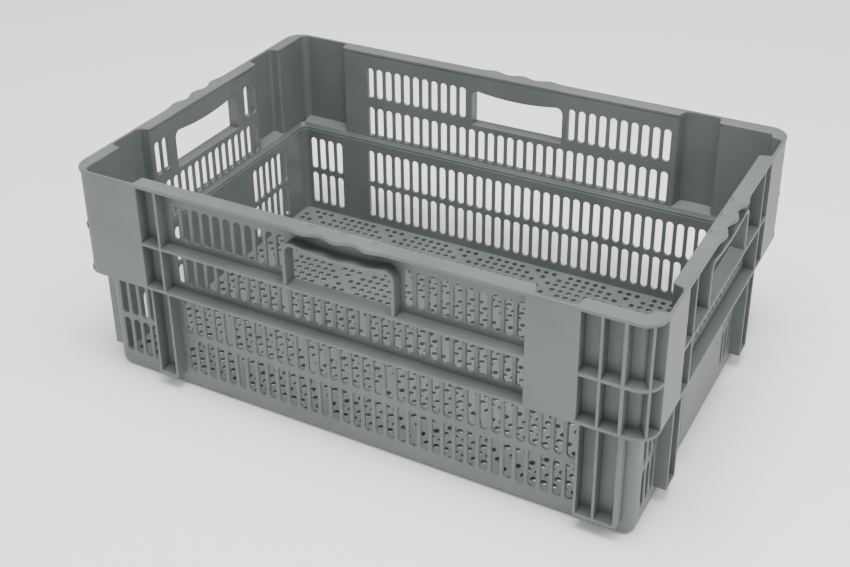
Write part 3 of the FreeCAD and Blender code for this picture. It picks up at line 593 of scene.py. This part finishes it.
def rim_quarter(end):
    """Near quarter of the rim at the left (-1) or right (1) end, without the grips."""
    rx, ry, bend = RIM_X - TUCK, RIM_Y - TUCK, BEND - TUCK
    deep_x, deep_y = RIM_X - PANEL + 0.05, RIM_Y - PANEL + 0.05
    ux, uy, slip = UP_X[0], UP_Y[0], PANEL - 0.05
    if end < 0:
        points = [(-rx, -GRIP)] + arc(-ARC_X, -ARC_Y, bend, 180, 270)
        points += [(HAND_X - GRIP, -ry), (HAND_X - GRIP, -uy)]
        points += [(CELL_A - slip, -uy), (CELL_A - slip - 2, -deep_y)]
        points += arc(SOFT - ux, SOFT - deep_y, SOFT, 270, 180, 8)
        points += [(-ux, -LEFT[1] + slip), (-deep_x, -LEFT[1] + slip + 2), (-deep_x, -LEFT[0] - slip - 4),
                   (-ux, -LEFT[0] - slip), (-ux, -GRIP)]
        return points
    points = [(HAND_X + GRIP, -ry)] + arc(ARC_X, -ARC_Y, bend, -90, 0) + [(rx, -GRIP), (ux, -GRIP)]
    points += [(ux, -RIGHT[0] - slip), (deep_x, -RIGHT[0] - slip - 4),
               (deep_x, -RIGHT[1] + slip + 2), (ux, -RIGHT[1] + slip)]
    points += arc(ux - INNER, -uy + INNER, INNER, 0, -90, 5)[1:]
    points += [(CHAN[1] - slip, -uy), (CHAN[1] - slip - 2, -deep_y), (CHAN[0] + slip + 5, -deep_y),
               (CHAN[0] + slip, -uy), (HAND_X + GRIP, -uy)]
    return points


def uncut(p):
    """True away from the planes where the rim meets its grips."""
    return abs(abs(p.y) - GRIP) > 0.01 and abs(abs(p.x - HAND_X) - GRIP) > 0.01


rim = []
for end in (-1, 1):
    rim += across(prism(rim_quarter(end), RIM_LOW, TOP, 1.1, uncut, 3))
for side, u0, deep in (("near", HAND_X, RIM_Y - UP_Y[0]), ("far", HAND_X, RIM_Y - UP_Y[0]),
                       ("right", 0, RIM_X - UP_X[0]), ("left", 0, RIM_X - UP_X[0])):
    rim.append(grip(u0, deep, side))
print("rim:", len(rim), "solids")

# %% [markdown]
# ## Lower body, ledge and floor
# The lower body is a vented box with soft upright corners and a rolled bottom edge. The
# ledge above it slopes, so a nested crate slides home, and the floor is a plate with round
# holes except on diagonal strips, where straps run underneath. The right end has a plain
# field with an etched texture.

# %% Lower walls
low_walls = []
ROLL = 8.0         # radius of the rolled bottom edge
TURN_IN = 13.8     # how far the edge turns in under the floor
LOW_T = 2.8        # thickness of the lower wall
for side in ("near", "far"):
    rows = []
    for bottom in (ROW_THREE, ROW_FOUR):
        rows += [(-185, 35, bottom, SLOT_LOW), (-266, 4, bottom, SLOT_LOW)]
    low_walls += vented([-LOW_END_X, LOW_END_X], [ROLL, SKIRT[0]], *LOW_W_Y, side, rows, PITCH)
rows = []
for bottom in (ROW_THREE, ROW_FOUR):
    rows += [(-135 - 2 * PITCH_END, 3, bottom, SLOT_LOW), (-8 * PITCH_END, 3, bottom, SLOT_LOW),
             (6 * PITCH_END, 3, bottom, SLOT_LOW), (135, 3, bottom, SLOT_LOW)]
low_walls += vented([-LOW_END_Y, LOW_END_Y], [ROLL, SKIRT[0]], *LOW_W_X, "right", rows, PITCH_END)
rows = []
for bottom in (ROW_THREE, ROW_FOUR):
    rows += [(-11 * PITCH_END, 6, bottom, SLOT_LOW), (6 * PITCH_END, 6, bottom, SLOT_LOW)]
low_walls += vented([-LOW_END_Y, LOW_END_Y], [ROLL, SKIRT[0]], *LOW_W_X, "left", rows, PITCH_END)
for sign in (-1, 1):
    cx, cy, out = sign * LOW_END_X, -LOW_END_Y, LOW_X[1] - LOW_END_X
    angles = (-90, 0) if sign > 0 else (180, 270)
    ring = arc(cx, cy, out, *angles) + arc(cx, cy, out - LOW_T, *angles)[::-1]
    low_walls += across(prism(ring, ROLL, SKIRT[0]))
print("lower walls:", len(low_walls), "solids")

# %% Rolled bottom edge and ledge, lofted through rings


def loft(rings):
    """Closed band through rings of (half x, half y, corner radius, level)."""
    outlines = []
    for hx, hy, radius, level in rings + rings[:1]:
        half = rounded(hx, hy, radius)[1:-1]
        outlines.append([(x, y, level) for x, y in half] + [(x, -y, level) for x, y in half[::-1]])
    bm = bmesh.new()
    verts = [bm.verts.new(point) for point in outlines[0]]
    edges = [bm.edges.new((verts[k - 1], verts[k])) for k in range(len(verts))]
    for outline in outlines[1:]:
        fresh = set(bmesh.ops.extrude_edge_only(bm, edges=edges)["geom"])
        verts = [next(e.other_vert(v) for e in v.link_edges if e.other_vert(v) in fresh) for v in verts]
        edges = [bm.edges.get((verts[k - 1], verts[k])) for k in range(len(verts))]
        for vert, point in zip(verts, outline):
            vert.co = point
    bmesh.ops.remove_doubles(bm, verts=bm.verts, dist=0.0005)
    bmesh.ops.recalc_face_normals(bm, faces=bm.faces)
    return bm


hx, hy, corner = LOW_X[1], LOW_Y[1], LOW_X[1] - LOW_END_X
rings = []
for k in range(9):
    a = math.radians(90 * k / 8)
    rings.append((hx - ROLL * (1 - math.cos(a)), hy - ROLL * (1 - math.cos(a)),
                  max(corner - ROLL * (1 - math.cos(a)), 1), ROLL * (1 - math.sin(a))))
rings.append((hx - TURN_IN, hy - TURN_IN, 0.8, 0.0))
rings.append((hx - TURN_IN, hy - TURN_IN, 0.8, LOW_T))
for k in range(8, -1, -1):
    a = math.radians(90 * k / 8)
    thin = ROLL - LOW_T
    step = LOW_T + thin * (1 - math.cos(a))
    rings.append((hx - step, hy - step, max(corner - step, 1), ROLL - thin * math.sin(a)))
low_walls.append(loft(rings))
LABEL = (55.0, 22.0, 106.0)    # half width and levels of the textured field at the right end
low_walls.append(bar(-LABEL[0], LABEL[0], LOW_W_X[0] - 0.35, LOW_W_X[0] + 0.5, *LABEL[1:], "right", 0.3,
                     lambda p: p.y < LOW_W_X[0] - 0.3))
inner_r = corner - LOW_T
ledge = loft([
    (LOW_X[0], LOW_Y[0], inner_r, SKIRT[0] - 3), (UP_X[0], UP_Y[0], 5, LEDGE),
    (UP_X[0] + 1, UP_Y[0] + 1, 6, LEDGE - 0.1), (LOW_X[0] + 2, LOW_Y[0] + 2, inner_r + 2, SKIRT[0] - 3)])
frames.append(ledge)
print("rolled edge and ledge lofted")

# %% Floor with its holes
HOLE, STEP = 6.2, 10.0


def floor_cell(open_hole):
    """One floor cell, with or without its hole, as a mesh."""
    bm = bmesh.new()
    ring = bmesh.ops.create_circle(bm, cap_ends=False, radius=HOLE / 2, segments=12)["verts"]
    bmesh.ops.rotate(bm, verts=ring, cent=(0, 0, 0), matrix=Matrix.Rotation(math.pi / 12, 3, "Z"))
    edges = bm.edges[:]
    out = bmesh.ops.extrude_edge_only(bm, edges=edges)["geom"]
    for vert in [item for item in out if isinstance(item, bmesh.types.BMVert)]:
        x, y = vert.co.x, vert.co.y
        if abs(abs(x) - abs(y)) < 0.1:
            vert.co.x, vert.co.y = math.copysign(STEP / 2, x), math.copysign(STEP / 2, y)
        elif abs(x) > abs(y):
            vert.co.x = math.copysign(STEP / 2, x)
        else:
            vert.co.y = math.copysign(STEP / 2, y)
    if not open_hole:
        bmesh.ops.contextual_create(bm, geom=edges)
    mesh = bpy.data.meshes.new("floor_cell")
    bm.to_mesh(mesh)
    return mesh


floor = bmesh.new()
cells = {True: floor_cell(True), False: floor_cell(False)}
nx, ny = int((LOW_X[0] - STEP / 2) // STEP), int((LOW_Y[0] - STEP / 2) // STEP)
holes = 0
for i in range(-nx, nx + 1):
    for j in range(-ny, ny + 1):
        plain = (i - j) % 10 == 0 or (i + j) % 10 == 0 or (abs(i) == nx and abs(j) == ny)
        cell = cells[not plain]
        holes += not plain
        cell.transform(Matrix.Translation((i * STEP, j * STEP, 0)))
        floor.from_mesh(cell)
        cell.transform(Matrix.Translation((-i * STEP, -j * STEP, 0)))
bmesh.ops.remove_doubles(floor, verts=floor.verts, dist=0.001)
bmesh.ops.translate(floor, verts=floor.verts, vec=(0, 0, FLOOR[0]))
thicken(floor, floor.faces[:], (0, 0, FLOOR[1] - FLOOR[0]))
fx, fy = (nx + 0.5) * STEP, (ny + 0.5) * STEP
hole_field = [(-fx, 0), (-fx, -fy), (fx, -fy), (fx, 0)]
border = prism(hole_field + rounded(LOW_X[0] + 1, LOW_Y[0] + 1, 8)[::-1], *FLOOR)
floors = [floor] + across(border)
print("floor:", holes, "holes")

# %% Build the objects


def gather(name, solids, *nodes):
    """Joins solids into one object in metres that stands for its CAD nodes."""
    bm = bmesh.new()
    for solid in solids:
        mesh = bpy.data.meshes.new("part")
        solid.to_mesh(mesh)
        solid.free()
        bm.from_mesh(mesh)
        bpy.data.meshes.remove(mesh)
    bmesh.ops.scale(bm, vec=(0.001, 0.001, 0.001), verts=bm.verts)
    mesh = bpy.data.meshes.new(name)
    bm.to_mesh(mesh)
    bm.free()
    mesh.shade_smooth()
    mesh.set_sharp_from_angle(angle=math.radians(10))
    piece = bpy.data.objects.new(name, mesh)
    bpy.context.scene.collection.objects.link(piece)
    weigh = piece.modifiers.new("flat faces stay flat", "WEIGHTED_NORMAL")
    weigh.keep_sharp = True
    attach(piece, "root")
    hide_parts(*nodes)
    print(name, len(mesh.polygons), "faces")
    return piece


def like(*starts):
    """CAD nodes whose names start in one of these ways."""
    return [n for n in sorted(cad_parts) if n.startswith(starts)]


crate = [
    gather("upper_walls", walls, *like("vent_wall", "corner_wall")),
    gather("hand_collars", collars, *like("handle_collar")),
    gather("channel_panels", channels, *like("channel_")),
    gather("flanges_and_ribs", frames,
           *like("side_frame", "end_frame", "corner_frame", "bottom_flange", "nesting_ledge")),
    gather("foot_columns", feet, *like("foot_")),
    gather("top_rim", rim, *like("rim_")),
    gather("lower_walls", low_walls, *like("lower_")),
    gather("floor_plate", floors, "floor_panel"),
]

# %% [markdown]
# ## Moulded polypropylene
# The plastic is injection-moulded polypropylene with a grey pigment. It leaves the steel
# with a satin skin: a fine grain that spreads the light and faint flow marks.
# Polypropylene has an IOR near 1.49 and no coat.

# %% Material


def linear(code):
    """sRGB hex value as linear RGBA."""
    out = []
    for k in (1, 3, 5):
        c = int(code[k:k + 2], 16) / 255
        out.append(c / 12.92 if c <= 0.04045 else ((c + 0.055) / 1.055) ** 2.4)
    return (*out, 1.0)


def add(tree, kind, inputs=None, **settings):
    """Adds a node; inputs are values or sockets by name or number."""
    item = tree.nodes.new(kind)
    for key, value in settings.items():
        setattr(item, key, value)
    for key, value in (inputs or {}).items():
        if isinstance(value, bpy.types.NodeSocket):
            tree.links.new(value, item.inputs[key])
        else:
            item.inputs[key].default_value = value
    return item


def moulded(name, light, dark, grain=0.9, relief=0.05):
    """Moulded plastic between two greys; grain is the size of its texture in mm."""
    material = bpy.data.materials.new(name)
    material.use_nodes = True
    tree = material.node_tree
    shader = next(n for n in tree.nodes if n.type == "BSDF_PRINCIPLED")
    place = add(tree, "ShaderNodeTexCoord").outputs["Object"]
    flow = add(tree, "ShaderNodeTexNoise", {"Vector": place, "Scale": 14.0, "Detail": 3.0, "Roughness": 0.55})
    skin = add(tree, "ShaderNodeTexNoise", {"Vector": place, "Scale": 1000 / grain, "Detail": 2.0})
    tone = add(tree, "ShaderNodeValToRGB", {"Fac": flow.outputs["Fac"]})
    tone.color_ramp.elements[0].position = 0.35
    tone.color_ramp.elements[0].color = linear(dark)
    tone.color_ramp.elements[1].position = 0.65
    tone.color_ramp.elements[1].color = linear(light)
    speck = add(tree, "ShaderNodeMapRange", {"Value": skin.outputs["Fac"], "To Min": 0.94, "To Max": 1.05})
    colour = add(tree, "ShaderNodeMix", {0: 1.0, 6: tone.outputs["Color"], 7: speck.outputs["Result"]},
                 data_type="RGBA", blend_type="MULTIPLY")
    satin = add(tree, "ShaderNodeMapRange", {"Value": flow.outputs["Fac"], "To Min": 0.42, "To Max": 0.56})
    bump = add(tree, "ShaderNodeBump",
               {"Height": skin.outputs["Fac"], "Strength": relief, "Distance": 0.0003})
    tree.links.new(colour.outputs[2], shader.inputs["Base Color"])
    tree.links.new(satin.outputs["Result"], shader.inputs["Roughness"])
    tree.links.new(bump.outputs["Normal"], shader.inputs["Normal"])
    shader.inputs["IOR"].default_value = 1.49
    return material


plastic = moulded("moulded_polypropylene", "#646968", "#5b6160")
for piece in crate:
    piece.data.materials.clear()
    piece.data.materials.append(plastic)
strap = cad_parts["floor_straps"]
strap.data.materials.clear()
strap.data.materials.append(plastic)
field = moulded("etched_field", "#606564", "#575d5c", 2.4, 0.8)
body = next(piece for piece in crate if piece.name == "lower_walls").data
body.materials.append(field)
for face in body.polygons:
    x, y, z = face.center * 1000
    if x > LOW_X[1] + 0.3 and abs(y) < LABEL[0] and LABEL[1] < z < LABEL[2]:
        face.material_index = 1
print("materials:", plastic.name, field.name)

# %% [markdown]
# ## Camera, floor and light
# A plain pale floor under broad soft lamps. The brightest hangs above, a little to the
# front, so that the rim's top is the lightest face and light reaches the floor inside.

# %% Camera
camera_data = bpy.data.cameras.new("camera")
camera = bpy.data.objects.new("camera", camera_data)
bpy.context.scene.collection.objects.link(camera)
right = Vector((0.87995, 0.47494, -0.01126))
forward = Vector((-0.42634, 0.77900, -0.45977))
up = right.cross(forward)
turned = Matrix((right, up, -forward)).transposed().to_4x4()
camera.matrix_world = Matrix.Translation((0.53497, -1.01688, 0.80995)) @ turned
camera_data.sensor_width = 36
camera_data.lens = 55.25
camera_data.shift_x = 0.0067
camera_data.shift_y = -0.1388
camera_data.clip_start = 0.05
bpy.context.scene.camera = camera
print("camera", tuple(round(v, 3) for v in camera.location))

# %% Floor, world and lamps
bm = bmesh.new()
bmesh.ops.create_grid(bm, x_segments=1, y_segments=1, size=6)
mesh = bpy.data.meshes.new("ground")
bm.to_mesh(mesh)
bm.free()
ground = bpy.data.objects.new("ground", mesh)
bpy.context.scene.collection.objects.link(ground)
ground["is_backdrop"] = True
pale = bpy.data.materials.new("pale_floor")
pale.use_nodes = True
paint = next(n for n in pale.node_tree.nodes if n.type == "BSDF_PRINCIPLED")
paint.inputs["Base Color"].default_value = linear("#ffffff")
paint.inputs["Roughness"].default_value = 0.9
mesh.materials.append(pale)
world = bpy.data.worlds.new("studio")
bpy.context.scene.world = world
world.use_nodes = True
sky = next(n for n in world.node_tree.nodes if n.type == "BACKGROUND")
sky.inputs["Color"].default_value = linear("#ffffff")
sky.inputs["Strength"].default_value = 0.75


def lamp(name, place, aim, size, power):
    """Square soft lamp that faces a point."""
    data = bpy.data.lights.new(name, "AREA")
    data.size = size
    data.energy = power
    item = bpy.data.objects.new(name, data)
    item.location = place
    item.rotation_euler = (Vector(aim) - Vector(place)).to_track_quat("-Z", "Y").to_euler()
    bpy.context.scene.collection.objects.link(item)
    return item


lamp("key", (1.5, -0.2, 1.7), (0.1, 0.0, 0.15), 1.0, 12)
lamp("fill", (-1.2, -1.6, 1.2), (0.0, 0.0, 0.1), 1.6, 2)
lamp("top", (0.2, -0.35, 2.3), (0.0, 0.05, 0.1), 1.3, 85)
print("stage ready")

# %% Print the visual box and finish
low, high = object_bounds()
print("visual box", [round(1000 * v, 1) for v in low], [round(1000 * v, 1) for v in high])
